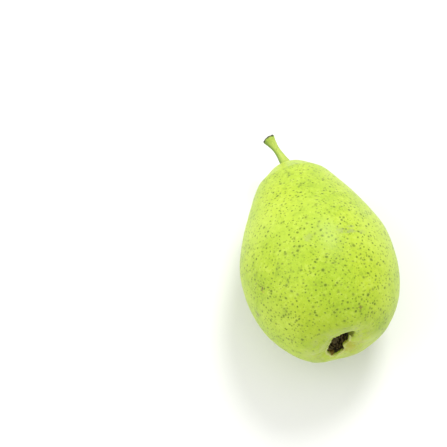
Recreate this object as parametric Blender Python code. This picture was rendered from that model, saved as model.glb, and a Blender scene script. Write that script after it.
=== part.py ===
"""Whole pear lying on its side: fruit, stem, five withered sepals and the dried styles in the eye.

Run it with: blender --background --python part.py

The fruit is drawn in a frame of its own: +Y runs from the eye (the calyx end) to the stem, +X is its
right flank and +Z its upper flank. Everything hangs on one empty, which tips the fruit to the slope at
which it comes to rest, sets its flattened patch on Z = 0 and puts its centre of mass over the origin.
"""

import math

import bmesh
import bpy
from mathutils import Matrix, Vector

MM = 0.001

# Driving dimensions, in millimetres.
REST_SLOPE = 9.0  # degrees that the stem end points below level
BALANCE_POINT = 42.6  # eye rim to centre of mass
FLAT_DEPTH = 0.5  # how far the belly is flattened where it rests
CUTTER_SIZE = 80.0

# The outline, as (distance from the eye rim, radius).
CUP_OUTLINE = [(7.2, 0.0), (7.0, 3.0), (6.0, 5.2), (4.0, 6.1), (2.2, 6.4)]
BASIN_OUTLINE = [(1.3, 7.1), (0.7, 8.6), (0.25, 10.4)]
SIDE_OUTLINE = [
    (0.0, 12.6),
    (1.8, 17.8),
    (6.5, 24.0),
    (16.2, 30.8),
    (27.5, 34.5),
    (38.2, 35.7),
    (50.0, 34.6),
    (63.7, 29.6),
    (77.4, 23.1),
    (87.7, 17.0),
    (94.1, 9.9),
]
STEM_END_OUTLINE = [(96.2, 6.2), (96.4, 4.7), (95.6, 3.7), (94.2, 3.4), (93.9, 2.8), (93.9, 0.0)]
PROFILE_STEPS = 2  # points between two of the outline's own
TURN_STEPS = 48

# How the fruit departs from a turned shape.
BELLY = 45.0  # from the eye rim to the middle of the swollen flanks
FLANK_REACH = 55.0
FLANK_SWELLS = [(2, 0.007, 0.5), (3, 0.006, 1.9)]  # (number round the fruit, share of the radius, phase)
EYE_TILT = 0.1  # slope of the eye face, which looks a little to the right
EYE_SHIFT = -0.8
EYE_REACH = 26.0
EYE_STRETCH = 0.16  # the cup is longer along one of its diameters
EYE_STRETCH_ANGLE = math.radians(49)
CUP_REACH = 15.0
RIM_RADIUS = 12.5
RIM_LOBES = 5
RIM_LOBE_PHASE = 1.0
RIM_LOBE_HEIGHT = 0.45
RIM_LOBE_REACH = 14.0
NECK_DROOP = 1.2  # how far the stem end bends towards the underside
NECK_START = 35.0
NECK_END = 97.0

# The stem's centre line from the floor of its socket, as (x, y, z, radius).
STEM_LINE = [
    (0.0, 0.3, 0.0, 2.9),
    (-0.3, 3.0, 0.0, 2.8),
    (-1.3, 7.0, 0.2, 2.2),
    (-2.4, 10.5, 0.5, 1.75),
    (-3.6, 14.0, 0.9, 1.8),
    (-4.8, 17.2, 1.4, 2.15),
    (-5.6, 19.3, 1.8, 2.5),
    (-5.9, 20.1, 1.9, 2.4),
]
STEM_STEPS = 2
STEM_SIDES = 16

# The sepals, as (angle round the eye, side profile). A profile's points are (distance from the rim, radius).
FOLDED_IN = [(4.8, 4.9), (3.6, 5.2), (2.4, 4.9), (1.6, 4.0), (1.4, 2.9), (1.6, 1.9)]
HALF_FOLDED = [(4.8, 4.9), (3.6, 5.3), (2.2, 5.3), (1.2, 4.8), (0.5, 4.0), (0.2, 3.1)]
CURLED_OUT = [(4.8, 4.9), (3.6, 5.3), (2.1, 5.5), (0.8, 6.2), (0.3, 7.3), (0.0, 8.7)]
SEPALS = [
    (50.0, CURLED_OUT),
    (118.0, FOLDED_IN),
    (172.0, FOLDED_IN),
    (228.0, CURLED_OUT),
    (302.0, HALF_FOLDED),
]
SEPAL_WIDTHS = [3.4, 3.8, 3.4, 2.6, 1.6, 0.6]
SEPAL_THICKNESS = 0.6
SEPAL_STEPS = 2
SEPAL_COLUMNS = (-0.5, -0.2, 0.2, 0.5)  # across the blade, as shares of its width
SEPAL_CUPPING = 0.5  # how strongly the blade's edges curl inwards

# The dried styles, as (distance in from the rim, radius).
TUFT_OUTLINE = [(6.8, 0.0), (6.7, 1.6), (5.6, 2.0), (4.2, 1.5), (3.2, 1.9), (2.7, 1.2), (2.9, 0.0)]
TUFT_STEPS = 2
TUFT_SIDES = 20
TUFT_RIDGES = 5
TUFT_RIDGE_SHARE = 0.22


def clear_scene():
    for old in list(bpy.data.objects):
        bpy.data.objects.remove(old)


def make_material(name, colour, roughness):
    """A Principled material in one colour."""
    material = bpy.data.materials.new(name)
    material.use_nodes = True
    shader = material.node_tree.nodes["Principled BSDF"]
    shader.inputs["Base Color"].default_value = (*colour, 1.0)
    shader.inputs["Roughness"].default_value = roughness
    shader.inputs["Metallic"].default_value = 0.0
    return material


def add_object(name, bm, material, parent):
    """Turns a bmesh into a smooth-shaded object that hangs on parent."""
    bmesh.ops.recalc_face_normals(bm, faces=bm.faces)
    mesh = bpy.data.meshes.new(name)
    bm.to_mesh(mesh)
    bm.free()
    mesh.shade_smooth()
    mesh.materials.append(material)
    made = bpy.data.objects.new(name, mesh)
    made.parent = parent
    bpy.context.scene.collection.objects.link(made)
    return made


def smooth_line(points, steps):
    """A Catmull-Rom curve through points of any dimension, with steps pieces between two neighbours."""
    known = [Vector(p) for p in points]
    ends = [known[0] * 2 - known[1], *known, known[-1] * 2 - known[-2]]
    line = []
    for i in range(1, len(ends) - 2):
        a, b, c, d = ends[i - 1 : i + 3]
        square = 2 * a - 5 * b + 4 * c - d
        cube = 3 * b - a - 3 * c + d
        for k in range(steps):
            t = k / steps
            line.append(0.5 * (2 * b + (c - a) * t + square * t**2 + cube * t**3))
    return [*line, known[-1]]


def fade(value, reach):
    """1 at zero, falling smoothly to 0 at reach."""
    t = min(max(value / reach, 0.0), 1.0)
    return 1 - t * t * (3 - 2 * t)


def turned(outline, sides):
    """A bmesh of an (along, radius) outline in millimetres spun about the Y axis, in metres."""
    bm = bmesh.new()
    points = [bm.verts.new((max(radius, 0.0) * MM, along * MM, 0.0)) for along, radius in outline]
    edges = [bm.edges.new(pair) for pair in zip(points, points[1:])]
    bmesh.ops.spin(
        bm,
        geom=points + edges,
        cent=(0, 0, 0),
        axis=(0, 1, 0),
        angle=2 * math.pi,
        steps=sides,
    )
    bmesh.ops.remove_doubles(bm, verts=bm.verts, dist=0.001 * MM)
    return bm


def grown(x, y, z):
    """Moves a point of the turned shape to where the grown fruit has it, all in millimetres."""
    angle = math.atan2(z, x)
    radius = math.hypot(x, z)
    flank = fade(abs(y - BELLY), FLANK_REACH)
    cup = fade(radius, CUP_REACH) * fade(y, CUP_REACH)
    swell = 1 + EYE_STRETCH * cup * math.cos(2 * (angle - EYE_STRETCH_ANGLE))
    swell += flank * sum(share * math.cos(count * angle + phase) for count, share, phase in FLANK_SWELLS)
    eye = fade(radius, EYE_REACH) * fade(y, EYE_REACH)
    rim = fade(abs(radius - RIM_RADIUS), RIM_LOBE_REACH) * fade(y, RIM_LOBE_REACH)
    lift = RIM_LOBE_HEIGHT * rim * math.cos(RIM_LOBES * angle - RIM_LOBE_PHASE)
    neck = max(y - NECK_START, 0) / (NECK_END - NECK_START)
    return x * swell + EYE_SHIFT * eye, y - lift + EYE_TILT * x * eye, z * swell - NECK_DROOP * neck * neck


def make_fruit(material, parent):
    """The flesh and skin as one solid, with the eye at one end and the stem's socket at the other."""
    outline = smooth_line(CUP_OUTLINE + BASIN_OUTLINE + SIDE_OUTLINE + STEM_END_OUTLINE, PROFILE_STEPS)
    bm = turned(outline, TURN_STEPS)
    for vert in bm.verts:
        vert.co = Vector(grown(*(vert.co / MM))) * MM
    fruit = add_object("pear_body", bm, material, parent)
    cut = fruit.modifiers.new("rest_spot", "BOOLEAN")
    cut.operation = "DIFFERENCE"
    cut.solver = "EXACT"
    cut.object = make_flat_cutter()
    return fruit


def make_flat_cutter():
    """A block with its top on Z = 0, which takes the belly down to a flat patch."""
    bm = bmesh.new()
    size = CUTTER_SIZE * MM
    placing = Matrix.Translation((0, 0, -size / 2))
    bmesh.ops.create_cube(bm, size=size, matrix=placing)
    mesh = bpy.data.meshes.new("flat_cutter")
    bm.to_mesh(mesh)
    bm.free()
    cutter = bpy.data.objects.new("flat_cutter", mesh)
    cutter.hide_render = True
    cutter.display_type = "WIRE"
    bpy.context.scene.collection.objects.link(cutter)
    return cutter


def make_stem(material, parent):
    """A short curved stalk, thick at its root and at its scar."""
    line = smooth_line(STEM_LINE, STEM_STEPS)
    socket = Vector(grown(0, STEM_END_OUTLINE[-1][0], 0))
    bm = bmesh.new()
    rings = []
    for i, point in enumerate(line):
        centre = socket + Vector(point[:3])
        ahead = Vector(line[min(i + 1, len(line) - 1)][:3])
        behind = Vector(line[max(i - 1, 0)][:3])
        along = (ahead - behind).normalized()
        across = along.cross(Vector((0, 0, 1))).normalized()
        up = across.cross(along)
        ring = []
        for k in range(STEM_SIDES):
            turn = 2 * math.pi * k / STEM_SIDES
            offset = across * math.cos(turn) + up * math.sin(turn)
            ring.append(bm.verts.new((centre + offset * point[3]) * MM))
        rings.append(ring)
    for low, high in zip(rings, rings[1:]):
        for k in range(STEM_SIDES):
            after = (k + 1) % STEM_SIDES
            bm.faces.new((low[k], low[after], high[after], high[k]))
    bm.faces.new(rings[0])
    bm.faces.new(rings[-1])
    return add_object("stem", bm, material, parent)


def make_sepal(index, angle, profile, material, parent):
    """One withered sepal: a tapering blade that follows its side profile, standing in the eye's cup."""
    turn = math.radians(angle)
    outward = Vector((math.cos(turn), 0, math.sin(turn)))
    sideways = Vector((-math.sin(turn), 0, math.cos(turn)))
    bm = bmesh.new()
    rows = []
    stations = [(along, radius, width) for (along, radius), width in zip(profile, SEPAL_WIDTHS)]
    for along, radius, width in smooth_line(stations, SEPAL_STEPS):
        row = []
        for share in SEPAL_COLUMNS:
            cupped = SEPAL_CUPPING * width * abs(share)
            point = outward * (radius - cupped) + sideways * (share * width)
            row.append(bm.verts.new(Vector(grown(point.x, along, point.z)) * MM))
        rows.append(row)
    for low, high in zip(rows, rows[1:]):
        for k in range(len(low) - 1):
            bm.faces.new((low[k], low[k + 1], high[k + 1], high[k]))
    sepal = add_object(f"sepal_{index}", bm, material, parent)
    thick = sepal.modifiers.new("thickness", "SOLIDIFY")
    thick.thickness = SEPAL_THICKNESS * MM
    thick.offset = 0
    return sepal


def make_tuft(material, parent):
    """The dried styles and stamens, as one ridged stump on the floor of the eye's cup."""
    bm = turned(smooth_line(TUFT_OUTLINE, TUFT_STEPS), TUFT_SIDES)
    for vert in bm.verts:
        x, y, z = vert.co / MM
        ridge = 1 + TUFT_RIDGE_SHARE * math.cos(TUFT_RIDGES * math.atan2(z, x))
        vert.co = Vector(grown(x * ridge, y, z * ridge)) * MM
    return add_object("style_tuft", bm, material, parent)


def main():
    clear_scene()
    skin = make_material("skin", (0.52, 0.72, 0.09), 0.42)
    stalk = make_material("stalk", (0.33, 0.45, 0.10), 0.6)
    husk = make_material("husk", (0.06, 0.04, 0.015), 0.85)

    rest = bpy.data.objects.new("rest_pose", None)
    bpy.context.scene.collection.objects.link(rest)
    fruit = make_fruit(skin, rest)
    slope = Matrix.Rotation(-math.radians(REST_SLOPE), 4, "X")
    lowest = min((slope @ vert.co).z for vert in fruit.data.vertices)
    balance = slope @ Vector((0, BALANCE_POINT, 0)) * MM
    rest.matrix_world = Matrix.Translation((0, -balance.y, -lowest - FLAT_DEPTH * MM)) @ slope

    make_stem(stalk, rest)
    for index, (angle, profile) in enumerate(SEPALS, 1):
        make_sepal(index, angle, profile, husk, rest)
    make_tuft(husk, rest)


main()
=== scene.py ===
import math

import bpy
import numpy as np
from mathutils import Matrix, Vector


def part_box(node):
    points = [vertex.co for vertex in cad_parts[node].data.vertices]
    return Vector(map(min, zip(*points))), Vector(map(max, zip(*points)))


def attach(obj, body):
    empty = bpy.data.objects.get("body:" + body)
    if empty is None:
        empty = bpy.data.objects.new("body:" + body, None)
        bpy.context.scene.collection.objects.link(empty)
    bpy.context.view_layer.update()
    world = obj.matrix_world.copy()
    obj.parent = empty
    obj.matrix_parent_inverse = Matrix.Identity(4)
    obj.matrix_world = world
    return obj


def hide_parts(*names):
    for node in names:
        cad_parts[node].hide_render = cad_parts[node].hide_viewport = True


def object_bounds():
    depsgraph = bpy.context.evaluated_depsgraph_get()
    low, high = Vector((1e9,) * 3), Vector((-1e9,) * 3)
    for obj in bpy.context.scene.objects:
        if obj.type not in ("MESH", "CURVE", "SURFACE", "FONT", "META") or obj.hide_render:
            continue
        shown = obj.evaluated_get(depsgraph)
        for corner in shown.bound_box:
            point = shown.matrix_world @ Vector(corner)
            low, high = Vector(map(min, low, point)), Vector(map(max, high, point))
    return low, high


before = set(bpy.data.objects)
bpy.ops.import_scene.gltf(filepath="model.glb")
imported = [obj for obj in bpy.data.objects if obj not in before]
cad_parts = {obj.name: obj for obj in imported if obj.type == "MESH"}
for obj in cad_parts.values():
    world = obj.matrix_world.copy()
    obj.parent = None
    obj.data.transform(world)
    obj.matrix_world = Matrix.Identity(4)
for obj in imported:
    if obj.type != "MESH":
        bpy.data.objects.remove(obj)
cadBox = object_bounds()
mm = 0.001
print("frame loaded:", ", ".join(sorted(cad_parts)))


# small helpers for node trees and meshes


def feed(tree, node, inputs):
    # inputs maps a socket's name or number to a value or to the socket that feeds it
    for name, value in inputs.items():
        if isinstance(value, bpy.types.NodeSocket):
            tree.links.new(value, node.inputs[name])
        else:
            node.inputs[name].default_value = value
    return node


def addNode(tree, kind, inputs=None, **settings):
    node = tree.nodes.new(kind)
    for name, value in settings.items():
        setattr(node, name, value)
    return feed(tree, node, inputs or {})


def calc(tree, operation, *values):
    return addNode(tree, "ShaderNodeMath", dict(enumerate(values)), operation=operation).outputs[0]


def times(tree, first, second):
    return calc(tree, "MULTIPLY", first, second)


def timesPlus(tree, value, factor, added):
    return calc(tree, "MULTIPLY_ADD", value, factor, added)


def vectorCalc(tree, operation, *values):
    node = addNode(tree, "ShaderNodeVectorMath", dict(enumerate(values)), operation=operation)
    return node.outputs["Value" if operation == "LENGTH" else "Vector"]


def split(tree, vector):
    return addNode(tree, "ShaderNodeSeparateXYZ", {"Vector": vector}).outputs[:]


def join(tree, x=0.0, y=0.0, z=0.0):
    return addNode(tree, "ShaderNodeCombineXYZ", {"X": x, "Y": y, "Z": z}).outputs[0]


def remap(tree, value, low, high, toLow=0.0, toHigh=1.0):
    inputs = {"Value": value, "From Min": low, "From Max": high, "To Min": toLow, "To Max": toHigh}
    return addNode(tree, "ShaderNodeMapRange", inputs, interpolation_type="SMOOTHSTEP").outputs["Result"]


def blend(tree, share, first, second):
    # colours as (r, g, b) or sockets
    def full(colour):
        return (*colour, 1.0) if isinstance(colour, tuple) else colour

    inputs = {0: share, 6: full(first), 7: full(second)}
    return addNode(tree, "ShaderNodeMix", inputs, data_type="RGBA").outputs[2]


def paint(tree, ground, colour, mask, strength=1.0):
    # lays a colour over the ground, as far as the mask and the strength say
    share = mask if strength == 1.0 else times(tree, mask, strength)
    return blend(tree, share, ground, colour)


def noise(tree, place, perMetre, detail=2.0, rough=0.5):
    inputs = {"Vector": place, "Scale": perMetre, "Detail": detail, "Roughness": rough}
    return addNode(tree, "ShaderNodeTexNoise", inputs).outputs["Fac"]


def startGroup(name, kind, takes, gives):
    # takes and gives map a socket's name to its first value, or to its kind where it has no value
    tree = bpy.data.node_groups.new(name, kind)
    for way, sockets in (("INPUT", takes), ("OUTPUT", gives)):
        for label, value in sockets.items():
            valueKind = {float: "Float", int: "Int", tuple: "Vector"}.get(type(value), value)
            socketType = f"NodeSocket{valueKind}"
            socket = tree.interface.new_socket(name=label, in_out=way, socket_type=socketType)
            if valueKind != value:
                socket.default_value = value
    start, end = tree.nodes.new("NodeGroupInput"), tree.nodes.new("NodeGroupOutput")
    return tree, start.outputs, end


def useGroup(tree, group, inputs):
    kind = "ShaderNodeGroup" if tree.bl_idname == "ShaderNodeTree" else "GeometryNodeGroup"
    return addNode(tree, kind, inputs, node_tree=group).outputs


def readNumber(tree, name):
    inputs = {"Name": name}
    return addNode(tree, "GeometryNodeInputNamedAttribute", inputs, data_type="FLOAT").outputs[0]


def storeNumber(tree, geometry, name, value, domain):
    inputs = {"Geometry": geometry, "Name": name, "Value": value}
    kind = "GeometryNodeStoreNamedAttribute"
    return addNode(tree, kind, inputs, data_type="FLOAT", domain=domain).outputs[0]


def randomValue(tree, seed, low=0.0, high=1.0):
    # numbers, or vectors where low and high are
    isVector = isinstance(low, tuple)
    first = 0 if isVector else 2
    inputs = {first: low, first + 1: high, "Seed": seed}
    dataType = "FLOAT_VECTOR" if isVector else "FLOAT"
    node = addNode(tree, "FunctionNodeRandomValue", inputs, data_type=dataType)
    return node.outputs[0 if isVector else 1]


def position(tree):
    return addNode(tree, "GeometryNodeInputPosition").outputs[0]


def movePoints(tree, geometry, **inputs):
    return addNode(tree, "GeometryNodeSetPosition", {"Geometry": geometry, **inputs}).outputs[0]


def scaled(tree, vector, factor):
    inputs = {0: vector, "Scale": factor}
    return addNode(tree, "ShaderNodeVectorMath", inputs, operation="SCALE").outputs[0]


def finishTree(tree, end, geometry, material):
    real = addNode(tree, "GeometryNodeRealizeInstances", {"Geometry": geometry}).outputs[0]
    painted = addNode(tree, "GeometryNodeSetMaterial", {"Geometry": real, "Material": material})
    feed(tree, end, {"Geometry": painted.outputs[0]})
    return tree


def growWith(obj, tree, values):
    # hangs a Geometry Nodes tree on obj, sets its inputs and keeps the result as a plain mesh
    modifier = obj.modifiers.new(tree.name, "NODES")
    modifier.node_group = tree
    for item in tree.interface.items_tree:
        if item.item_type == "SOCKET" and item.in_out == "INPUT" and item.name in values:
            modifier[item.identifier] = values[item.name]
    graph = bpy.context.evaluated_depsgraph_get()
    plain = bpy.data.meshes.new_from_object(obj.evaluated_get(graph))
    obj.modifiers.clear()
    obj.data = plain
    plain.name = obj.name


def showMesh(name, points, faces, material, attributes=None):
    # points in metres, in the frame; attributes are one number or one vector for each point
    mesh = bpy.data.meshes.new(name)
    mesh.from_pydata([tuple(p) for p in points], [], faces)
    mesh.update()
    mesh.shade_smooth()
    for label, values in (attributes or {}).items():
        values = np.asarray(values, np.float32)
        isVector = values.ndim == 2
        layer = mesh.attributes.new(label, "FLOAT_VECTOR" if isVector else "FLOAT", "POINT")
        layer.data.foreach_set("vector" if isVector else "value", values.ravel())
    mesh.materials.append(material)
    obj = bpy.data.objects.new(name, mesh)
    bpy.context.scene.collection.objects.link(obj)
    return obj


def gridFaces(rows, columns, flip=False):
    # quads of a closed tube of rows x columns points, and a fan onto a pole at each end
    faces = []
    for r in range(0, (rows - 1) * columns, columns):
        for c in range(columns):
            n = (c + 1) % columns
            faces.append((r + c, r + n, r + columns + n, r + columns + c))
    first, last = rows * columns, rows * columns + 1
    for c in range(columns):
        n = (c + 1) % columns
        faces.append((first, n, c))
        faces.append((last, (rows - 1) * columns + c, (rows - 1) * columns + n))
    return [face[::-1] for face in faces] if flip else faces


def smoothLine(points, spacing):
    # a Catmull-Rom curve through the points, then evenly spaced along its length
    known = np.array(points, float)
    ends = np.vstack([2 * known[0] - known[1], known, 2 * known[-1] - known[-2]])
    t = np.linspace(0, 1, 24, endpoint=False)[:, None]
    pieces = []
    for a, b, c, d in zip(ends, ends[1:], ends[2:], ends[3:]):
        square = 2 * a - 5 * b + 4 * c - d
        cube = 3 * b - a - 3 * c + d
        pieces.append(0.5 * (2 * b + (c - a) * t + square * t**2 + cube * t**3))
    line = np.vstack([*pieces, known[-1:]])
    gone = np.r_[0, np.cumsum(np.linalg.norm(np.diff(line, axis=0), axis=1))]
    wanted = np.linspace(0, gone[-1], max(int(gone[-1] / spacing), 4) + 1)
    return np.column_stack([np.interp(wanted, gone, column) for column in line.T])


def fade(value, reach):
    # 1 at zero, falling smoothly to 0 at reach
    t = np.clip(value / reach, 0, 1)
    return 1 - t * t * (3 - 2 * t)


def bump(value, middle, reach):
    return fade(np.abs(value - middle), reach)


def angleFrom(angle, middle):
    return np.abs((angle - middle + math.pi) % (2 * math.pi) - math.pi)


# the fruit's shape, in millimetres, in a frame of its own: +Y from the eye to the stalk

fruit = {
    "restSlope": 9.0,  # degrees that the stalk end points below level
    # the turned outline, as (along, radius)
    "cup": [(7.2, 0.0), (7.0, 3.0), (6.0, 5.2), (4.0, 6.0), (2.3, 6.25), (1.55, 6.5)],
    "basin": [(1.2, 7.1), (0.7, 8.6), (0.25, 10.4)],
    "side": [
        (0.0, 12.6), (1.8, 17.8), (6.5, 24.0), (16.2, 30.8), (27.5, 34.5), (38.2, 35.7),
        (50.0, 34.6), (63.7, 29.6), (77.4, 23.1), (87.7, 17.0), (94.1, 9.9),
    ],
    "socket": [(96.2, 6.2), (96.4, 4.7), (95.6, 3.7), (94.2, 3.4), (93.9, 2.8), (93.9, 0.0)],
    "endSpacing": 0.28,
    "sideSpacing": 0.72,
    "columns": 288,
    "belly": 45.0,
    "flankReach": 55.0,
    "flankSwells": [(2, 0.007, 0.5), (3, 0.006, 1.9)],  # number round the fruit, share of the radius, phase
    "eyeTilt": 0.1,
    "eyeShift": -0.8,
    "eyeReach": 26.0,
    "eyeStretch": 0.16,
    "eyeStretchAngle": math.radians(49),
    "cupReach": 15.0,
    "rimRadius": 12.5,
    "rimLobes": (5, 0.45, 1.0, 14.0),  # number, height, phase, reach
    "neckDroop": 1.2,
    "neckSpan": (35.0, 97.0),
    # folds and torn teeth round the eye: number, height, phase
    "puckers": [(5, 0.22, 0.4), (9, 0.12, 2.0), (16, 0.07, 0.9)],
    "lipTeeth": [(9, 0.16, 0.4), (23, 0.13, 1.3), (37, 0.08, 0.2)],
    # rings round the eye that these and the lip keep to: radius, reach across it, reach inwards
    "foldRing": (8.6, 5.0, 6.0),
    "lipRing": (6.6, 2.6, 7.0),
    "toothRing": (6.3, 1.3, 5.0),
    "lipFoldShare": 1.2,
    # how the lip departs from its ring: angle round the eye in degrees, wider by, deeper by,
    # half angle, reach from the lip
    "lipMoves": [
        (80, 0.0, 2.8, 68, 14.0),
        (98, 0.1, -0.95, 68, 2.6),
        (50, 0.6, 1.8, 28, 4.8),
        (62, 0.1, 0.9, 34, 7.0),
        (120, 0.1, 0.9, 40, 7.0),
        (118, 0.35, 0.25, 14, 3.0),
        (172, 0.35, 0.2, 13, 3.0),
        (182, 0.2, 1.3, 10, 9.0),
        (185, -0.6, 0.0, 40, 6.0),
        (232, 0.4, 0.2, 14, 3.0),
        (256, -0.9, -2.15, 70, 5.5),
        (302, 0.4, 0.1, 20, 3.0),
        (316, -1.9, -0.5, 45, 5.0),
        (350, -2.5, 0.2, 85, 6.5),
    ],
    "lipMoveDepth": 13.0,
    "cupEdge": (1.7, 6.5),  # where the dark cup starts, as (along, radius)
    "cupBlur": 1.5,
    "socketMark": (3.6, 3.2),  # radius of the corky skin, and how far it fades out
}


def grown(x, y, z):
    # moves points of the turned shape to where the grown fruit has them
    angle = np.arctan2(z, x)
    radius = np.hypot(x, z)
    flank = bump(y, fruit["belly"], fruit["flankReach"])
    cup = fade(radius, fruit["cupReach"]) * fade(y, fruit["cupReach"])
    swell = 1 + fruit["eyeStretch"] * cup * np.cos(2 * (angle - fruit["eyeStretchAngle"]))
    for count, share, phase in fruit["flankSwells"]:
        swell = swell + flank * share * np.cos(count * angle + phase)
    eye = fade(radius, fruit["eyeReach"]) * fade(y, fruit["eyeReach"])
    lobes, height, phase, reach = fruit["rimLobes"]
    lift = height * bump(radius, fruit["rimRadius"], reach) * fade(y, reach) * np.cos(lobes * angle - phase)
    start, end = fruit["neckSpan"]
    neck = np.maximum(y - start, 0) / (end - start)
    moved = [
        x * swell + fruit["eyeShift"] * eye,
        y - lift + fruit["eyeTilt"] * x * eye,
        z * swell - fruit["neckDroop"] * neck * neck,
    ]
    return np.stack(moved, axis=-1)


def openEye(radius, along, angle):
    # carries the lip's own irregular outline to what lies near it
    widen, push = np.zeros_like(along * angle), np.zeros_like(along * angle)
    for degrees, wide, deep, half, reach in fruit["lipMoves"]:
        share = fade(angleFrom(angle, math.radians(degrees)), math.radians(half))
        share = share * bump(radius, fruit["lipRing"][0], reach) * fade(along, fruit["lipMoveDepth"])
        widen = widen + wide * share
        push = push + deep * share
    return radius + widen, along + push


def skinPoints(evenLip=False):
    # the turned outline with the eye's folds in it, one row for each point of the outline
    eyeLine = smoothLine(fruit["cup"] + fruit["basin"] + fruit["side"][:2], fruit["endSpacing"])
    sideLine = smoothLine(fruit["basin"][-1:] + fruit["side"] + fruit["socket"][:1], fruit["sideSpacing"])
    endLine = smoothLine(fruit["side"][-2:] + fruit["socket"], fruit["endSpacing"])
    middle = (sideLine[:, 0] > eyeLine[-1, 0] + 0.5) & (sideLine[:, 0] < endLine[0, 0] - 0.5)
    line = np.vstack([eyeLine, sideLine[middle], endLine])
    along, radius = line[1:-1, 0][:, None], np.maximum(line[1:-1, 1], 0.02)[:, None]
    angle = np.linspace(0, 2 * math.pi, fruit["columns"], endpoint=False)[None, :]

    def ringShare(ring):
        middle, reach, depth = fruit[ring]
        return bump(radius, middle, reach) * fade(along, depth)

    lip, folds, teeth = ringShare("lipRing"), ringShare("foldRing"), ringShare("toothRing")
    widen, push = np.zeros_like(along * angle), np.zeros_like(along * angle)
    for count, height, phase in fruit["puckers"]:
        push = push + folds * height * np.cos(count * angle + phase)
        widen = widen + lip * height * fruit["lipFoldShare"] * np.cos((count + 2) * angle + 2 * phase)
    for count, height, phase in fruit["lipTeeth"]:
        tooth = np.sin(count * angle + phase + 1.5 * np.sin(3 * angle)) * teeth
        widen = widen + height * tooth
        push = push + height * tooth
    outward, inward = (radius, along) if evenLip else openEye(radius, along, angle)
    outward, inward = outward + widen, inward + push
    points = grown(outward * np.cos(angle), inward, outward * np.sin(angle))
    poles = [grown(0.0, line[end, 0], 0.0) for end in (0, -1)]

    def mark(values, atEye, atStalk):
        # one number for each point, with the two poles last
        return np.r_[(values * np.ones_like(angle)).ravel(), atEye, atStalk]

    gone = np.cumsum(np.linalg.norm(np.diff(line[:-1], axis=0), axis=1))[:, None]
    edge = gone[np.argmin(np.hypot(along[:, 0] - fruit["cupEdge"][0], radius[:, 0] - fruit["cupEdge"][1]))]
    corkRadius, corkFade = fruit["socketMark"]
    marks = {
        "inCup": mark(fade(gone - edge + fruit["cupBlur"], fruit["cupBlur"]), 1, 0),
        "lip": mark(lip, 0, 0),
        "along": mark(along, line[0, 0], line[-1, 0]),
        "inSocket": mark(fade(radius - corkRadius, corkFade) * (along > fruit["belly"]), 0, 1),
    }
    return np.vstack([points.reshape(-1, 3), *poles]), len(along), marks


def intoFrame(points):
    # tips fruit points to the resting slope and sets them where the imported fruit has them, in metres
    turn = np.array(Matrix.Rotation(math.radians(-fruit["restSlope"]), 3, "X"))
    return (np.asarray(points) @ turn.T) * mm + fruit["placing"]


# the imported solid, which has an even lip, says where the tipped fruit goes: tops and foremost points meet
fruit["placing"] = np.zeros(3)
tipped = intoFrame(skinPoints(evenLip=True)[0])
bodyLow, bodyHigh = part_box("pear_body")
fruit["placing"] = np.array([0, bodyLow.y - tipped[:, 1].min(), bodyHigh.z - tipped[:, 2].max()])
skinCloud, skinRows, skinMarks = skinPoints()
skinCloud = intoFrame(skinCloud)
print("fruit placed, lowest point", round(float(skinCloud[:, 2].min()) / mm, 2), "mm")


# shader node groups shared by the materials


def makeMottleGroup():
    # soft light and dark patches at two sizes, as one number round 0
    takes = {"Place": "Vector", "Coarse": 120.0, "Fine": 900.0, "Fine Share": 0.5}
    group, given, end = startGroup("mottle", "ShaderNodeTree", takes, {"Value": "Float"})
    broad = calc(group, "SUBTRACT", noise(group, given["Place"], given["Coarse"], 3.0, 0.55), 0.5)
    small = calc(group, "SUBTRACT", noise(group, given["Place"], given["Fine"], 2.0, 0.6), 0.5)
    feed(group, end, {"Value": timesPlus(group, small, given["Fine Share"], broad)})
    return group


def makeSpeckGroup():
    # round specks of varied size: 1 in the middle of a speck, 0 between specks
    takes = {"Place": "Vector", "Per Metre": 500.0, "Smallest": 0.05, "Largest": 0.22, "Softness": 0.12}
    gives = {"Mask": "Float", "Tone": "Float"}
    group, given, end = startGroup("specks", "ShaderNodeTree", takes, gives)
    inputs = {"Vector": given["Place"], "Scale": given["Per Metre"]}
    cells = addNode(group, "ShaderNodeTexVoronoi", inputs).outputs
    chance = addNode(group, "ShaderNodeSeparateColor", {"Color": cells["Color"]}).outputs
    spread = calc(group, "SUBTRACT", given["Largest"], given["Smallest"])
    size = timesPlus(group, calc(group, "POWER", chance["Red"], 2.5), spread, given["Smallest"])
    edge = calc(group, "ADD", size, given["Softness"])
    mask = remap(group, cells["Distance"], size, edge, 1.0, 0.0)
    feed(group, end, {"Mask": mask, "Tone": chance["Green"]})
    return group


def makePatchGroup():
    # one soft oval patch round a point: 1 inside, ragged by noise, 0 outside
    takes = {
        "Place": "Vector",
        "Centre": "Vector",
        "Stretch": (1.0, 1.0, 1.0),
        "Radius": 0.003,
        "Ragged": 0.5,
        "Grain": 700.0,
    }
    group, given, end = startGroup("patch", "ShaderNodeTree", takes, {"Mask": "Float"})
    away = vectorCalc(group, "SUBTRACT", given["Place"], given["Centre"])
    shaped = vectorCalc(group, "MULTIPLY", away, given["Stretch"])
    reach = calc(group, "DIVIDE", vectorCalc(group, "LENGTH", shaped), given["Radius"])
    rough = calc(group, "SUBTRACT", noise(group, given["Place"], given["Grain"], 3.0, 0.65), 0.5)
    ragged = timesPlus(group, rough, times(group, given["Ragged"], 4.0), reach)
    feed(group, end, {"Mask": remap(group, ragged, 0.35, 1.1, 1.0, 0.0)})
    return group


mottle = makeMottleGroup()
specks = makeSpeckGroup()
patch = makePatchGroup()
print("shader groups built")


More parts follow.
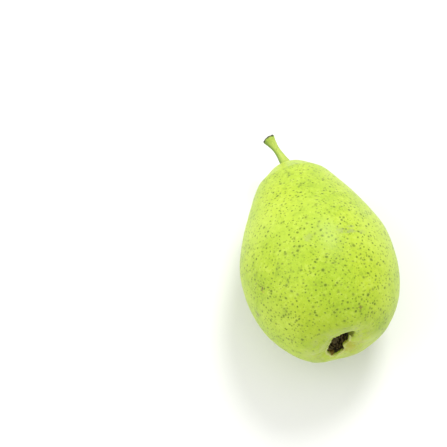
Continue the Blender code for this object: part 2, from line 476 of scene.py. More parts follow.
def startMaterial(name, **constants):
    material = bpy.data.materials.new(name)
    material.use_nodes = True
    tree = material.node_tree
    tree.nodes.clear()
    inputs = {label.replace("_", " "): value for label, value in constants.items()}
    shader = addNode(tree, "ShaderNodeBsdfPrincipled", inputs)
    addNode(tree, "ShaderNodeOutputMaterial", {"Surface": shader.outputs[0]})
    place = addNode(tree, "ShaderNodeTexCoord").outputs["Object"]
    return material, tree, shader, place


def finishMaterial(tree, shader, colour, roughness, height):
    relief = addNode(tree, "ShaderNodeBump", {"Height": height, "Distance": 1.0, "Strength": 1.0})
    inputs = {"Base Color": colour, "Roughness": roughness, "Normal": relief.outputs["Normal"]}
    feed(tree, shader, inputs)


def readMark(tree, name, output="Fac"):
    return addNode(tree, "ShaderNodeAttribute", attribute_name=name).outputs[output]


def mottled(tree, place, facts):
    # facts are coarse patches and fine patches to the metre, and the fine ones' share
    coarse, fine, share = facts
    inputs = {"Place": place, "Coarse": coarse, "Fine": fine, "Fine Share": share}
    return useGroup(tree, mottle, inputs)["Value"]


skin = {
    "green": (0.355, 0.505, 0.018),
    "yellowGreen": (0.42, 0.555, 0.02),
    "pale": (0.535, 0.67, 0.095),
    "deep": (0.225, 0.345, 0.010),
    "fleck": (0.15, 0.24, 0.002),
    "dot": (0.11, 0.18, 0.001),
    "oliveDot": (0.17, 0.24, 0.003),
    "cork": (0.15, 0.14, 0.02),
    "russet": (0.40, 0.34, 0.09),
    "scuff": (0.42, 0.45, 0.17),
    "lipStrawAndHighlight": (0.66, 0.66, 0.27),
    "cupBrown": (0.030, 0.022, 0.005),
    "cupTan": (0.10, 0.075, 0.025),
    "stain": (0.42, 0.40, 0.035),
    "rub": (0.30, 0.35, 0.12),
    "speck": (0.16, 0.13, 0.03),
    # broad paler and greener areas: centre in mm, radius in mm, strength, colour. The first seven, high on
    # the lying fruit, are painted light and painted shade: paler on the upper middle and on the flanks,
    # where the bright surroundings light them, and darker in the middle and on the low side. The last
    # three, low down, are broad changes of tone
    "lightShadeAndToneAreas": [
        ((-7.0, 14.0, 67.0), 20.0, 0.22, "pale"),
        ((-27.0, 16.0, 50.0), 18.0, 0.30, "pale"),
        ((27.0, 2.0, 56.0), 20.0, 0.42, "pale"),
        ((26.0, -24.0, 50.0), 15.0, 0.22, "pale"),
        ((-25.0, -25.0, 52.0), 14.0, 0.25, "pale"),
        ((4.0, -2.0, 70.0), 12.0, 0.14, "deep"),
        ((-6.0, -34.0, 56.0), 16.0, 0.20, "deep"),
        ((10.0, 52.0, 20.0), 22.0, 0.25, "pale"),
        ((-16.0, -10.0, 6.0), 24.0, 0.35, "yellowGreen"),
        ((30.0, -20.0, 24.0), 20.0, 0.25, "deep"),
    ],
    "areaEdge": (0.18, 120.0),
    # old rubs, stains and specks: centre in mm, stretch if any, radius in mm, strength, colour
    "marks": [
        ((9.4, 3.1, 68.9), (1.0, 1.7, 1.0), 2.4, 0.45, "rub"),
        ((13.8, 2.2, 67.2), (0.8, 2.4, 1.0), 2.6, 0.6, "rub"),
        ((19.1, 1.7, 64.5), (0.9, 2.0, 1.0), 2.2, 0.4, "rub"),
        ((14.6, 4.6, 66.6), (0.8, 2.2, 1.0), 2.0, 0.4, "rub"),
        ((-5.4, 3.0, 69.7), (1.0, 1.2, 1.0), 2.6, 0.35, "rub"),
        ((-29.3, -11.0, 55.1), 1.2, 0.9, "speck"),
        ((-29.0, -12.6, 54.9), (1.0, 1.4, 1.0), 1.0, 0.8, "stain"),
        ((-33.1, -18.6, 42.6), 1.9, 0.7, "rub"),
        ((-33.1, -18.6, 42.8), 1.0, 0.85, "speck"),
        ((9.9, -31.3, 62.3), 1.1, 0.7, "speck"),
        ((4.1, -41.1, 37.2), (1.0, 1.0, 0.7), 3.6, 0.75, "stain"),
        ((9.5, -40.0, 40.5), 2.8, 0.55, "stain"),
        ((18.0, 24.0, 14.0), (1.0, 0.6, 1.0), 5.0, 0.5, "rub"),
        ((-14.0, 42.0, 52.0), (1.0, 1.3, 1.0), 2.4, 0.45, "rub"),
    ],
    "markEdge": (0.9, 950.0),
    "patchesPerMetre": 38.0,
    "cloud": (150.0, 640.0, 1.2),
    "paleShare": 0.38,
    "deepShare": 0.55,
    "flecks": {"Per Metre": 600.0, "Smallest": 0.05, "Largest": 0.28},
    "fleckShare": (0.46, 0.45),  # at least this much, and this much more by chance
    "wax": (2300.0, 6400.0, 0.6),
    "waxShare": 0.45,
    "dotRing": 0.2,
    "dotShare": (0.88, -0.3),  # at most this much, and this much less by chance
    "corkShare": 0.7,
    "rust": (420.0, 1900.0, 0.9),
    "roughness": 0.43,
    "poresPerMetre": 2600.0,
    "poreDepth": 0.00002,
    "ripplesPerMetre": 520.0,
    "rippleDepth": 0.000056,
    "dotRise": 0.000024,
    # inputs of the relief tree, in metres
    "relief": {
        "Swell Height": 0.0005,
        "Swells Per Metre": 30.0,
        "Dimple Height": 0.0001,
        "Dimples Per Metre": 160.0,
        "Patch Softness": 0.00012,
    },
}


def paintPatches(tree, place, ground, patches, edge):
    # edge is how ragged the patches are, and at what grain
    ragged, grain = edge
    for centre, *stretch, radius, share, colour in patches:
        inputs = {"Place": place, "Radius": radius * mm, "Ragged": ragged, "Grain": grain}
        inputs["Centre"] = tuple(c * mm for c in centre)
        if stretch:
            inputs["Stretch"] = stretch[0]
        mask = useGroup(tree, patch, inputs)["Mask"]
        ground = paint(tree, ground, skin[colour], mask, share)
    return ground


def makeSkin():
    material, tree, shader, place = startMaterial(
        "pearSkin",
        Subsurface_Weight=0.12,
        Subsurface_Scale=0.0035,
        Subsurface_Radius=(1.0, 0.75, 0.2),
        Coat_Weight=0.05,
        Coat_Roughness=0.3,
        Sheen_Weight=0.16,
        Sheen_Tint=(0.85, 1.0, 0.35, 1.0),
        Sheen_Roughness=0.35,
        IOR=1.36,
    )
    patches = noise(tree, place, skin["patchesPerMetre"])
    ground = blend(tree, remap(tree, patches, 0.36, 0.64), skin["green"], skin["yellowGreen"])
    cloud = mottled(tree, place, skin["cloud"])
    ground = paint(tree, ground, skin["pale"], remap(tree, cloud, 0.0, 0.34), skin["paleShare"])
    ground = paint(tree, ground, skin["deep"], remap(tree, cloud, 0.0, -0.38), skin["deepShare"])
    # painted light and painted shade high on the fruit, and broad changes of tone low down
    ground = paintPatches(tree, place, ground, skin["lightShadeAndToneAreas"], skin["areaEdge"])

    # small flecks of green under the wax, then the lenticels with pale rings round them
    flecks = useGroup(tree, specks, {"Place": place, **skin["flecks"]})
    least, more = skin["fleckShare"]
    faint = timesPlus(tree, flecks["Tone"], more, least)
    ground = paint(tree, ground, skin["fleck"], flecks["Mask"], faint)
    wax = remap(tree, mottled(tree, place, skin["wax"]), 0.0, 0.4)
    ground = paint(tree, ground, skin["pale"], wax, skin["waxShare"])
    tone, dotShade = readMark(tree, "dotTone"), readMark(tree, "dotShade")
    ground = paint(tree, ground, skin["pale"], remap(tree, dotShade, 0.0, 0.3), skin["dotRing"])
    core = remap(tree, dotShade, 0.12, 0.72)
    dotColour = blend(tree, tone, skin["dot"], skin["oliveDot"])
    pore = times(tree, remap(tree, dotShade, 0.7, 0.95), remap(tree, tone, 0.35, 0.8))
    dotColour = paint(tree, dotColour, skin["cork"], pore, skin["corkShare"])
    most, less = skin["dotShare"]
    ground = paint(tree, ground, dotColour, core, timesPlus(tree, tone, less, most))

    # the eye: straw-coloured lip, partly its own dry colour and partly painted highlight where its edge
    # catches light, russet basin and a dark cup
    rust = mottled(tree, place, skin["rust"])
    nearEye = remap(tree, readMark(tree, "along"), -0.5, 3.2, 0.62, 0.0)
    ground = paint(tree, ground, skin["scuff"], nearEye, remap(tree, rust, -0.25, 0.3))
    # painted highlight: the pale straw band round the lip stands in partly for light caught on its edge,
    # over the lip's own dry colour
    frayed = timesPlus(tree, rust, 0.35, readMark(tree, "lip"))
    ground = paint(tree, ground, skin["lipStrawAndHighlight"], remap(tree, frayed, 0.66, 1.0, 0.0, 0.8))
    inside = remap(tree, readMark(tree, "inCup"), 0.3, 0.8)
    cupColour = blend(tree, remap(tree, rust, 0.0, 0.4), skin["cupBrown"], skin["cupTan"])
    ground = paint(tree, ground, cupColour, inside)
    ground = paintPatches(tree, place, ground, skin["marks"], skin["markEdge"])

    # corky skin in the stalk's socket
    socket = remap(tree, readMark(tree, "inSocket"), 0.15, 0.8)
    corky = times(tree, socket, remap(tree, rust, -0.35, 0.2))
    ground = paint(tree, ground, skin["russet"], corky)

    gloss = timesPlus(tree, cloud, 0.12, skin["roughness"])
    roughness = timesPlus(tree, calc(tree, "MAXIMUM", inside, corky), 0.4, gloss)
    height = times(tree, noise(tree, place, skin["poresPerMetre"], 2.0, 0.6), skin["poreDepth"])
    height = timesPlus(tree, flecks["Mask"], -skin["poreDepth"], height)
    height = timesPlus(tree, noise(tree, place, skin["ripplesPerMetre"], 3.0), skin["rippleDepth"], height)
    height = timesPlus(tree, core, skin["dotRise"], height)
    finishMaterial(tree, shader, ground, roughness, height)
    return material


skinMaterial = makeSkin()


def makeReliefTree(material):
    # gentle swells and dimples, and the flattened patch that the fruit lies on
    takes = {"Geometry": "Geometry", **skin["relief"]}
    tree, given, end = startGroup("skinRelief", "GeometryNodeTree", takes, {"Geometry": "Geometry"})
    normal = addNode(tree, "GeometryNodeInputNormal").outputs[0]
    rise = 0.0
    for height, rate in (("Swell Height", "Swells Per Metre"), ("Dimple Height", "Dimples Per Metre")):
        wave = calc(tree, "SUBTRACT", 0.5, noise(tree, position(tree), given[rate], 1.0))
        rise = timesPlus(tree, wave, times(tree, given[height], 2.0), rise)
    along = readNumber(tree, "along")
    calm = times(tree, remap(tree, along, 0.0, 9.0, 0.25, 1.0), remap(tree, along, 97.0, 90.0))
    raised = movePoints(tree, given["Geometry"], Offset=scaled(tree, normal, times(tree, rise, calm)))

    # a smooth maximum of the height and the floor presses the patch flat
    x, y, z = split(tree, position(tree))
    soft = given["Patch Softness"]
    root = calc(tree, "SQRT", timesPlus(tree, z, z, times(tree, soft, soft)))
    pressed = times(tree, calc(tree, "ADD", z, root), 0.5)
    rested = movePoints(tree, raised, Position=join(tree, x, y, pressed))
    return finishTree(tree, end, rested, material)


lenticels = {
    # inputs of the scatter tree, in metres
    "scatter": {
        "Per Square Metre": 275000.0,
        "Apart": 0.00118,
        "Seed": 11,
        "Radius": 0.00096,
        "Height": 0.00003,
        "Bend": 0.00002,  # how far the rim of a full-sized one bends down to follow the skin
        "Sides": 10,
    },
    # they fade in and out at these distances from the eye, in mm; none are in its cup
    "fromEye": (0.8, 5.0),
    "toStalk": (96.5, 91.0),
    "topShare": 0.14,
    "dome": 0.72,
    "sunk": -0.28,
    "smallest": (0.75, 0.75, 0.9),
    "largest": (1.15, 1.15, 1.1),
    "manySmall": (1.6, 0.7, 0.55),  # power, share by chance, least share
}


def makeLenticelTree(material):
    # a thin lens on every spot, its flat side outermost; dotShade falls from 1 to 0 at its rim
    takes = {"Geometry": "Geometry", **lenticels["scatter"]}
    tree, given, end = startGroup("lenticelScatter", "GeometryNodeTree", takes, {"Geometry": "Geometry"})
    radius, height = given["Radius"], given["Height"]
    along = readNumber(tree, "along")
    share = remap(tree, along, *lenticels["fromEye"])
    share = times(tree, share, remap(tree, along, *lenticels["toStalk"]))
    share = times(tree, share, remap(tree, readNumber(tree, "inCup"), 0.0, 0.05, 1.0, 0.0))
    inputs = {
        "Mesh": given["Geometry"],
        "Distance Min": given["Apart"],
        "Density Max": given["Per Square Metre"],
        "Density Factor": share,
        "Seed": given["Seed"],
    }
    kind = "GeometryNodeDistributePointsOnFaces"
    points = addNode(tree, kind, inputs, distribute_method="POISSON").outputs
    inputs = {
        "Vertices": given["Sides"],
        "Side Segments": 2,
        "Radius Bottom": radius,
        "Radius Top": times(tree, radius, lenticels["topShare"]),
        "Depth": height,
    }
    cone = addNode(tree, "GeometryNodeMeshCone", inputs, fill_type="TRIANGLE_FAN").outputs
    kind = "GeometryNodeSetShadeSmooth"
    seen = calc(tree, "MAXIMUM", cone["Top"], cone["Side"])
    flat = addNode(tree, kind, {"Geometry": cone["Mesh"], "Shade Smooth": False}).outputs[0]
    lens = addNode(tree, kind, {"Geometry": flat, "Selection": seen}).outputs[0]

    # out runs from 0 in the middle to 1 at the rim
    x, y, z = split(tree, position(tree))
    out = calc(tree, "DIVIDE", vectorCalc(tree, "LENGTH", join(tree, x, y)), radius)
    outSquared = times(tree, out, out)
    lens = storeNumber(tree, lens, "dotShade", calc(tree, "SUBTRACT", 1.0, out), "POINT")
    upper = calc(tree, "GREATER_THAN", z, times(tree, height, 0.02))
    domed = times(tree, calc(tree, "SUBTRACT", lenticels["dome"], outSquared), height)
    lens = movePoints(tree, lens, Selection=upper, Position=join(tree, x, y, domed))
    bent = timesPlus(tree, outSquared, given["Bend"], times(tree, height, lenticels["sunk"]))
    lower = calc(tree, "SUBTRACT", 1.0, upper)
    lens = movePoints(tree, lens, Selection=lower, Offset=join(tree, z=bent))

    power, more, least = lenticels["manySmall"]
    size = timesPlus(tree, calc(tree, "POWER", randomValue(tree, 6), power), more, least)
    scale = scaled(tree, randomValue(tree, 3, lenticels["smallest"], lenticels["largest"]), size)
    about = join(tree, x=math.pi, z=randomValue(tree, 8, 0.0, 2 * math.pi))
    inputs = {"Rotation": points["Rotation"], "Rotate By": about}
    turned = addNode(tree, "FunctionNodeRotateRotation", inputs, rotation_space="LOCAL").outputs[0]
    inputs = {"Points": points["Points"], "Instance": lens, "Rotation": turned, "Scale": scale}
    placed = addNode(tree, "GeometryNodeInstanceOnPoints", inputs).outputs[0]
    toned = storeNumber(tree, placed, "dotTone", randomValue(tree, 5), "INSTANCE")
    return finishTree(tree, end, toned, material)


skinFaces = gridFaces(skinRows, fruit["columns"], flip=True)
pearSkin = showMesh("pearSkin", skinCloud, skinFaces, skinMaterial, skinMarks)
growWith(pearSkin, makeReliefTree(skinMaterial), skin["relief"])
dots = pearSkin.copy()
dots.data = pearSkin.data.copy()
dots.name = "lenticels"
bpy.context.scene.collection.objects.link(dots)
growWith(dots, makeLenticelTree(skinMaterial), lenticels["scatter"])
# dots at the resting patch and at the ends are pressed in, so nothing stands past the fruit's box
spread = np.array([vertex.co for vertex in dots.data.vertices])
spread = np.clip(spread, cadBox[0], cadBox[1])
dots.data.vertices.foreach_set("co", spread.astype(np.float32).ravel())
dots.data.update()
facesEach = 4 * lenticels["scatter"]["Sides"]
print("skin:", len(pearSkin.data.polygons), "faces; lenticels:", len(dots.data.polygons) // facesEach)

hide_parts("pear_body")
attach(pearSkin, "root")
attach(dots, "root")


# the stalk: a ribbed green stem with a flared foot and a dry scar on its end

stalk = {
    # (x, y, z, radius) from the bottom of the socket, in the fruit's own frame
    "line": [
        (0.0, 0.3, 0.0, 2.9),
        (-0.3, 3.0, 0.0, 2.75),
        (-1.3, 7.0, 0.2, 2.15),
        (-2.4, 10.5, 0.5, 1.68),
        (-3.5, 13.6, 0.9, 1.74),
        (-4.6, 16.5, 1.35, 2.42),
        (-5.25, 18.25, 1.7, 3.0),
        (-5.55, 19.05, 1.82, 2.8),
    ],
    "spacing": 0.2,
    "columns": 96,
    "ribs": [(5, 0.055, 0.6), (8, 0.03, 2.1), (17, 0.018, 0.2)],  # number, share of the radius, phase
    "twist": 0.5,
    "oval": 0.05,
    # (along, share of the radius) from the tip's rim to the middle of the scar
    "scar": [(0.06, 0.97), (0.1, 0.9), (0.02, 0.82), (-0.22, 0.7), (-0.34, 0.45), (-0.3, 0.2)],
    "scarLobes": (7, 0.05),
    "green": (0.30, 0.44, 0.035),
    "light": (0.44, 0.54, 0.08),
    "shaded": (0.13, 0.24, 0.012),
    "bark": (0.032, 0.036, 0.010),
    "scarBrown": (0.045, 0.042, 0.02),
    "scarPale": (0.20, 0.18, 0.09),
    "streaks": (700.0, 2600.0, 0.7),
    "streakLength": 2.6,
    "cloud": (240.0, 1500.0, 0.7),
    "spots": {"Per Metre": 900.0, "Smallest": 0.02, "Largest": 0.3},
    "spotShare": 0.5,
    "shadeShare": 0.9,
    "roughness": 0.52,
    "streakDepth": 0.00012,
    "cloudDepth": 0.00005,
}


def makeStalkMaterial():
    constants = {"Subsurface_Weight": 0.05, "Subsurface_Scale": 0.001}
    material, tree, shader, place = startMaterial("greenStalk", **constants)
    streaks = mottled(tree, readMark(tree, "streakPlace", "Vector"), stalk["streaks"])
    cloud = mottled(tree, place, stalk["cloud"])
    colour = blend(tree, remap(tree, streaks, -0.25, 0.25), stalk["green"], stalk["light"])
    # painted shade: one side of the stalk, turned a little downward, is darkened towards the shade green as
    # if turned from the light; the same green also colours the stalk's real dark spots
    sideShadeMask = remap(tree, readMark(tree, "paintedShadeSide"), -0.1, 0.8)
    colour = paint(tree, colour, stalk["shaded"], sideShadeMask, stalk["shadeShare"])
    spots = useGroup(tree, specks, {"Place": place, **stalk["spots"]})["Mask"]
    colour = paint(tree, colour, stalk["shaded"], spots, stalk["spotShare"])

    # brown at the flared tip and round the foot
    upward, scar = readMark(tree, "upward"), readMark(tree, "scar")
    tip = remap(tree, calc(tree, "ADD", upward, times(tree, cloud, 0.09)), 0.94, 0.978, 0.0, 0.95)
    colour = paint(tree, colour, stalk["bark"], tip)
    foot = remap(tree, calc(tree, "ADD", upward, times(tree, cloud, 0.12)), 0.0, 0.12, 0.7, 0.0)
    colour = paint(tree, colour, stalk["bark"], foot)
    pith = blend(tree, remap(tree, streaks, -0.2, 0.4), stalk["scarBrown"], stalk["scarPale"])
    colour = paint(tree, colour, pith, scar)
    roughness = timesPlus(tree, scar, 0.3, timesPlus(tree, cloud, 0.2, stalk["roughness"]))
    height = timesPlus(tree, cloud, stalk["cloudDepth"], times(tree, streaks, stalk["streakDepth"]))
    finishMaterial(tree, shader, colour, roughness, height)
    return material


def makeStalk():
    line = smoothLine(stalk["line"], stalk["spacing"])
    centre, radius = line[:, :3], line[:, 3]
    forward = np.gradient(centre, axis=0)
    forward /= np.linalg.norm(forward, axis=1)[:, None]
    aside = np.cross(forward, [0.0, 0.0, 1.0])
    aside /= np.linalg.norm(aside, axis=1)[:, None]
    above = np.cross(aside, forward)
    upward = np.linspace(0, 1, len(line))
    tip, reach = centre[-1], radius[-1]
    for step, share in stalk["scar"]:
        centre = np.vstack([centre, tip + forward[-1] * step])
        radius = np.append(radius, reach * share)
    extra = len(stalk["scar"])
    aside = np.vstack([aside, np.repeat(aside[-1:], extra, axis=0)])
    above = np.vstack([above, np.repeat(above[-1:], extra, axis=0)])
    upward = np.append(upward, np.ones(extra))[:, None]
    angle = np.linspace(0, 2 * math.pi, stalk["columns"], endpoint=False)[None, :]
    twist = angle + stalk["twist"] * upward
    wide = 1 + stalk["oval"] * np.cos(2 * angle + 3 * upward)
    for count, share, phase in stalk["ribs"]:
        wide = wide + share * np.cos(count * twist + phase + 0.6 * np.sin(5 * upward + count))
    # the ribs are strong at both ends and weak halfway
    wide = 1 + (wide - 1) * (0.55 + 0.45 * np.cos(2 * math.pi * upward) ** 2)
    ring = radius[:, None] * wide
    lobes, depth = stalk["scarLobes"]
    ring[-extra:] *= 1 + depth * np.cos(lobes * angle + 1.0)
    spokes = np.cos(angle)[..., None] * aside[:, None, :] + np.sin(angle)[..., None] * above[:, None, :]
    points = centre[:, None, :] + ring[..., None] * spokes
    rows, columns = ring.shape
    foot = grown(0.0, fruit["socket"][-1][0], 0.0)
    cloud = np.vstack([points.reshape(-1, 3), centre[0], centre[-1]]) + foot
    isScar = np.zeros(rows)
    isScar[-extra:] = np.linspace(0.75, 1.0, extra)
    isScar[-extra - 1] = 0.5
    long = stalk["streakLength"]
    place = np.stack([ring * np.cos(angle), ring * np.sin(angle), np.repeat(upward * long, columns, 1)], -1)
    marks = {
        "upward": np.r_[np.repeat(upward[:, 0], columns), 0, 1],
        "scar": np.r_[np.repeat(isScar, columns), 0, 1],
        # paintedShadeSide runs from -1 to 1 round the stalk and is highest on the side that gets painted
        # shade
        "paintedShadeSide": np.r_[np.tile(-np.cos(angle[0] - 0.6), rows), 0, 0],
        "streakPlace": np.vstack([place.reshape(-1, 3), [0, 0, 0], [0, 0, long]]) * mm,
    }
    faces = gridFaces(rows, columns, flip=True)
    return showMesh("stalk", intoFrame(cloud), faces, makeStalkMaterial(), marks)


stem = makeStalk()
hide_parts("stem")
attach(stem, "root")
print("stalk:", len(stem.data.polygons), "faces")


# the eye: five withered sepals round a tuft of dried styles and stamens

husk = {
    # profiles of a sepal from its root to its tip, as (along, radius)
    "foldedIn": [(5.6, 5.3), (4.2, 5.2), (2.6, 4.9), (1.7, 4.0), (1.5, 2.9), (1.8, 1.7)],
    "halfFolded": [(5.6, 5.3), (3.8, 5.4), (2.2, 5.3), (1.2, 4.8), (0.6, 4.0), (0.4, 2.9)],
    "curledOut": [(5.6, 5.3), (3.8, 5.6), (2.1, 6.0), (0.8, 6.9), (0.15, 8.1), (0.1, 9.6)],
    "curledShort": [(5.6, 5.3), (3.8, 5.3), (2.4, 5.1), (1.6, 5.0), (1.2, 5.3), (1.3, 6.0)],
    # angle round the eye, profile, width share, sideways lean, curl of the edges, colours
    "sepals": [
        ("sepal_1", 50, "curledOut", 1.3, -0.5, 0.7, "olive"),
        ("sepal_2", 118, "foldedIn", 0.95, -0.6, 0.5, "brown"),
        ("sepal_3", 172, "foldedIn", 1.05, 0.7, 0.6, "brown"),
        # painted light: sepal_4 lies on the lit lower wall of the eye and gets paler, warmer copies of the
        # brown husk colours
        ("sepal_4", 228, "curledShort", 1.0, -0.2, 0.6, "litAmber"),
        ("sepal_5", 302, "halfFolded", 1.0, 0.5, 0.5, "brown"),
    ],
    "widths": [3.6, 3.9, 3.7, 3.0, 1.9, 0.35],
    "thickness": 0.34,
    "rows": 40,
    "columns": 17,
    "edgeWave": 0.10,
    "edgeFray": 0.06,
    "crinkle": 0.16,
    "crease": (0.22, 0.16),  # depth, and half width as a share of the blade's
    "streakLength": 1.3,
    # middle, light and dark colours
    "brown": ((0.042, 0.030, 0.006), (0.15, 0.115, 0.035), (0.014, 0.010, 0.002)),
    "olive": ((0.15, 0.18, 0.01), (0.32, 0.35, 0.06), (0.02, 0.022, 0.003)),
    # painted light: the brown husk made paler and warmer, for the sepal on the lit lower wall of the eye
    "litAmber": ((0.15, 0.10, 0.006), (0.38, 0.33, 0.09), (0.025, 0.018, 0.003)),
    "thread": ((0.10, 0.072, 0.022), (0.26, 0.20, 0.08), (0.03, 0.02, 0.005)),
    "streaks": (900.0, 3800.0, 0.8),
    "cloud": (500.0, 2600.0, 0.8),
    "roughness": 0.68,
    "streakDepth": 0.00012,
    "cloudDepth": 0.00008,
}


def makeHusk(name, colours):
    middle, light, dark = colours
    material, tree, shader, place = startMaterial(name, IOR=1.3)
    streaks = mottled(tree, readMark(tree, "bladePlace", "Vector"), husk["streaks"])
    cloud = mottled(tree, place, husk["cloud"])
    colour = blend(tree, remap(tree, streaks, 0.0, 0.35), middle, light)
    colour = paint(tree, colour, dark, remap(tree, cloud, 0.0, -0.4))
    colour = paint(tree, colour, light, remap(tree, readMark(tree, "margin"), 0.72, 1.0, 0.0, 0.6))
    colour = paint(tree, colour, dark, readMark(tree, "shadow"))
    roughness = timesPlus(tree, cloud, 0.25, husk["roughness"])
    height = timesPlus(tree, cloud, husk["cloudDepth"], times(tree, streaks, husk["streakDepth"]))
    finishMaterial(tree, shader, colour, roughness, height)
    return material


def intoEye(points):
    # takes points of the round eye along with its lip, and on into the frame
    angle = np.arctan2(points[:, 2], points[:, 0])
    radius, along = openEye(np.hypot(points[:, 0], points[:, 2]), points[:, 1], angle)
    return intoFrame(grown(radius * np.cos(angle), along, radius * np.sin(angle)))


def makeSepal(facts, materials):
    # a leaf-like blade: its front and back run round it as one closed tube with a pole at each end
    name, degrees, profile, width, lean, curl, colour = facts
    rows, columns = husk["rows"], husk["columns"]
    line = smoothLine(husk[profile], 0.05)
    line = line[np.linspace(0, len(line) - 1, rows).round().astype(int)]
    t = np.linspace(0, 1, rows)[:, None]
    across = np.linspace(-1, 1, columns)[None, :]
    seed = math.radians(degrees) * 7.0
    half = 0.5 * width * np.interp(t, np.linspace(0, 1, len(husk["widths"])), husk["widths"])
    wave = husk["edgeWave"] * np.sin(9 * t + seed) * np.sign(across)
    half = half * (1 + wave + husk["edgeFray"] * np.sin(23 * t + 2 * seed))
    side = half * across + lean * t * t
    angle = math.radians(degrees)
    outward = np.array([math.cos(angle), 0, math.sin(angle)])
    sideways = np.array([-math.sin(angle), 0, math.cos(angle)])
    tangent = np.gradient(line, axis=0)
    tangent /= np.linalg.norm(tangent, axis=1)[:, None]
    lift = np.stack([-tangent[:, 1], tangent[:, 0]], -1)  # into the eye, as (along, radius)
    deep, narrow = husk["crease"]
    cup = curl * (across**2) * half * 0.55
    cup = cup + husk["crinkle"] * np.sin(13 * t + 4 * across + seed) * (0.3 + t)
    cup = cup + husk["crinkle"] * 0.8 * np.sin(29 * t - 7 * across + 2 * seed) * across**2
    cup = cup - deep * np.exp(-((across / narrow) ** 2)) * (1 - t)
    along = line[:, 0][:, None] - cup * np.abs(lift[:, 0][:, None])
    reach = line[:, 1][:, None] - cup * lift[:, 1][:, None]
    middle = reach[..., None] * outward + side[..., None] * sideways
    middle = middle + along[..., None] * np.array([0, 1.0, 0])
    normal = np.cross(np.gradient(middle, axis=1), np.gradient(middle, axis=0))
    normal /= np.maximum(np.linalg.norm(normal, axis=2), 1e-9)[..., None]
    thick = 0.5 * husk["thickness"] * np.sqrt(np.maximum(1 - across**2, 0.04)) * (1.15 - 0.6 * t)
    front = middle + normal * thick[..., None]
    back = middle - normal * thick[..., None]

    def wrap(first, second):
        return np.concatenate([first, second[:, ::-1]], axis=1)

    tube = wrap(front, back)
    cloud = intoEye(np.vstack([tube.reshape(-1, 3), middle[0].mean(axis=0), middle[-1].mean(axis=0)]))
    margin = wrap(np.abs(across), np.abs(across)) * np.ones((rows, 1))
    shade = np.repeat(fade(t[:, 0], 0.45), 2 * columns) * 0.85
    sidePlace = wrap(side, side)
    long = husk["streakLength"]
    place = np.stack([sidePlace, long * t * np.ones_like(sidePlace), np.full_like(sidePlace, seed)], -1)
    marks = {
        "margin": np.r_[margin.ravel(), 0, 1],
        "shadow": np.r_[shade, 1, 0],
        "bladePlace": np.vstack([place.reshape(-1, 3), [0, 0, seed], [0, long, seed]]) * mm,
    }
    return showMesh(name + "_blade", cloud, gridFaces(rows, 2 * columns), materials[colour], marks)


huskMaterials = {}
for colour in ("brown", "olive", "litAmber", "thread"):
    huskMaterials[colour] = makeHusk(colour + "Husk", husk[colour])
for facts in husk["sepals"]:
    blade = makeSepal(facts, huskMaterials)
    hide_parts(facts[0])
    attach(blade, "root")
print("sepals:", len(husk["sepals"]))


tuft = {
    # inputs of the thread tree, in metres
    "stamens": {
        "Count": 34,
        "Ring": 0.0039,
        "Length": 0.0044,
        "Thickness": 0.00015,
        "Lean": 0.55,
        "Curl": 0.0006,
        "Head": 1.9,
        "Seed": 4,
    },
    "styles": {
        "Count": 5,
        "Ring": 0.00055,
        "Length": 0.0043,
        "Thickness": 0.00034,
        "Lean": -0.3,
        "Curl": 0.0004,
        "Head": 0.5,
        "Seed": 7,
    },
    "stamenLevel": 6.2,  # how far inside the eye the threads stand, in mm
    "styleLevel": 6.9,
    "pointsEach": 9,
    "sides": 6,
    "jitter": 0.0004,
}


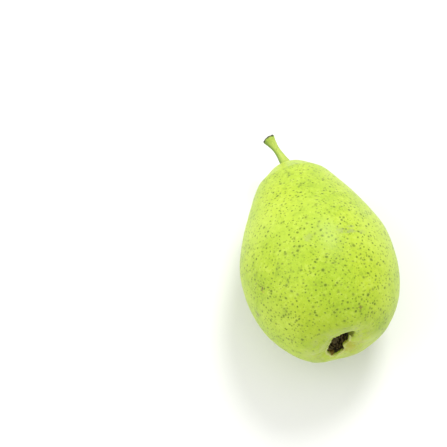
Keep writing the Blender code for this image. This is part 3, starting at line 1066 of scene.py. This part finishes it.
def makeTuftTree(material):
    # threads that stand round a ring, lean and curl, each with a swollen end
    takes, gives = tuft["stamens"], {"Geometry": "Geometry"}
    tree, given, end = startGroup("driedThreads", "GeometryNodeTree", takes, gives)
    inputs = {"Vertices": given["Count"], "Radius": given["Ring"]}
    ring = addNode(tree, "GeometryNodeMeshCircle", inputs).outputs["Mesh"]
    jitter = randomValue(tree, given["Seed"], (-tuft["jitter"],) * 3, (tuft["jitter"],) * 3)
    stood = movePoints(tree, ring, Offset=jitter)
    thread = addNode(tree, "GeometryNodeCurvePrimitiveLine", {"Start": (0, 0, 0), "End": (0, 0, 1)})
    inputs = {"Curve": thread.outputs[0], "Count": tuft["pointsEach"]}
    cut = addNode(tree, "GeometryNodeResampleCurve", inputs).outputs[0]
    copies = addNode(tree, "GeometryNodeInstanceOnPoints", {"Points": stood, "Instance": cut})
    loose = addNode(tree, "GeometryNodeRealizeInstances", {"Geometry": copies.outputs[0]}).outputs[0]

    # each thread's own numbers come from its index among the curves
    index = addNode(tree, "GeometryNodeInputIndex").outputs[0]
    own = calc(tree, "FLOOR", calc(tree, "DIVIDE", index, float(tuft["pointsEach"])))
    inputs = {"Vector": join(tree, own, given["Seed"], 0.5)}
    chance = addNode(tree, "ShaderNodeTexWhiteNoise", inputs, noise_dimensions="3D").outputs["Color"]
    first, second, third = split(tree, chance)
    turn = calc(tree, "DIVIDE", times(tree, own, 2 * math.pi), given["Count"])
    turn = timesPlus(tree, calc(tree, "SUBTRACT", first, 0.5), 1.6, turn)
    length = times(tree, given["Length"], timesPlus(tree, second, 0.5, 0.6))
    lean = times(tree, given["Lean"], timesPlus(tree, third, 1.1, 0.35))

    # share runs from 0 at a thread's root to 1 at its tip
    share = addNode(tree, "GeometryNodeSplineParameter").outputs["Factor"]
    gone = times(tree, share, length)
    inward = times(tree, times(tree, gone, lean), share)
    wave = calc(tree, "SINE", timesPlus(tree, share, 7.0, times(tree, second, 9.0)))
    sway = times(tree, times(tree, wave, given["Curl"]), share)
    cosine, sine = calc(tree, "COSINE", turn), calc(tree, "SINE", turn)
    x = calc(tree, "SUBTRACT", times(tree, sine, sway), times(tree, cosine, inward))
    y = calc(tree, "ADD", times(tree, cosine, sway), times(tree, sine, inward))
    z = calc(tree, "SUBTRACT", gone, share)  # the straight thread is one metre long
    curled = movePoints(tree, loose, Offset=join(tree, x, times(tree, y, -1.0), z))
    swollen = remap(tree, share, 0.76, 0.86)
    closing = remap(tree, share, 0.9, 1.02, 1.0, 0.1)
    girth = timesPlus(tree, swollen, given["Head"], timesPlus(tree, share, -0.4, 1.0))
    girth = times(tree, times(tree, girth, closing), given["Thickness"])
    inputs = {"Resolution": tuft["sides"], "Radius": 1.0}
    outline = addNode(tree, "GeometryNodeCurvePrimitiveCircle", inputs).outputs[0]
    inputs = {"Curve": curled, "Profile Curve": outline, "Fill Caps": True, "Scale": girth}
    solid = addNode(tree, "GeometryNodeCurveToMesh", inputs).outputs[0]
    smooth = addNode(tree, "GeometryNodeSetShadeSmooth", {"Geometry": solid}).outputs[0]
    return finishTree(tree, end, smooth, material)


def makeThreads(name, tree, level):
    obj = bpy.data.objects.new(name, bpy.data.meshes.new(name))
    bpy.context.scene.collection.objects.link(obj)
    growWith(obj, tree, tuft[name])
    cloud = np.empty(len(obj.data.vertices) * 3, np.float32)
    obj.data.vertices.foreach_get("co", cloud)
    local = cloud.reshape(-1, 3).astype(float) / mm
    # the threads stand on +Z; in the fruit they point out of the eye, which is -Y
    placed = intoEye(np.column_stack([local[:, 0], level - local[:, 2], local[:, 1]]))
    obj.data.vertices.foreach_set("co", placed.astype(np.float32).ravel())
    obj.data.update()
    return obj


threadTree = makeTuftTree(huskMaterials["thread"])
stamens = makeThreads("stamens", threadTree, tuft["stamenLevel"])
styles = makeThreads("styles", threadTree, tuft["styleLevel"])
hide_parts("style_tuft")
for piece in (stamens, styles):
    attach(piece, "root")
print("stamens:", len(stamens.data.polygons), "faces; styles:", len(styles.data.polygons), "faces")


# floor, lights and camera

studio = {
    "floorSize": 6.0,
    "floorColour": (0.82, 0.82, 0.805),
    "floorGloss": 0.2,
    "floorRoughness": 0.8,
    "worldColour": (1.0, 1.0, 1.0),
    "worldStrength": 0.96,
    "key": {"from": (0.45, 0.70, 1.15), "size": 0.5, "power": 10.3},
    "fill": {"from": (-0.9, 0.2, 0.8), "size": 1.2, "power": 4.2},
}


def makeFloor():
    half = studio["floorSize"] / 2
    corners = [(-half, -half, 0), (half, -half, 0), (half, half, 0), (-half, half, 0)]
    material = startMaterial(
        "paleFloor",
        Base_Color=(*studio["floorColour"], 1),
        Roughness=studio["floorRoughness"],
        Specular_IOR_Level=studio["floorGloss"],
    )[0]
    showMesh("floor", corners, [(0, 1, 2, 3)], material)


def makeLight(name):
    facts = studio[name]
    lamp = bpy.data.lights.new(name, "AREA")
    lamp.shape = "DISK"
    lamp.size = facts["size"]
    lamp.energy = facts["power"]
    obj = bpy.data.objects.new(name, lamp)
    obj.location = facts["from"]
    obj.rotation_euler = (-Vector(facts["from"])).to_track_quat("-Z", "Y").to_euler()
    bpy.context.scene.collection.objects.link(obj)


view = {
    "azimuth": -13.52,  # degrees round the fruit from its eye
    "elevation": 71.29,
    "distance": 0.75,
    "aim": (0.0, 0.0, 0.032),
    "aside": (-0.04313, 0.01974),  # the camera stands this far to the right of and above the aim
    "lens": 131.1,
    "sensor": 36.0,
}


def makeCamera():
    turn, lift = math.radians(view["azimuth"]), math.radians(view["elevation"])
    back = Vector((math.sin(turn) * math.cos(lift), -math.cos(turn) * math.cos(lift), math.sin(lift)))
    right = Vector((math.cos(turn), math.sin(turn), 0))
    up = back.cross(right)
    toRight, above = view["aside"]
    camera = bpy.data.cameras.new("camera")
    camera.lens = view["lens"]
    camera.sensor_width = view["sensor"]
    obj = bpy.data.objects.new("camera", camera)
    obj.location = Vector(view["aim"]) + back * view["distance"] + right * toRight + up * above
    obj.rotation_euler = back.to_track_quat("Z", "Y").to_euler()
    bpy.context.scene.collection.objects.link(obj)
    bpy.context.scene.camera = obj


makeFloor()
makeLight("key")
makeLight("fill")
makeCamera()
sky = bpy.data.worlds.new("studio")
sky.use_nodes = True
background = sky.node_tree.nodes["Background"]
background.inputs["Color"].default_value = (*studio["worldColour"], 1)
background.inputs["Strength"].default_value = studio["worldStrength"]
bpy.context.scene.world = sky
bpy.context.scene.view_settings.view_transform = "Standard"
print("studio set")
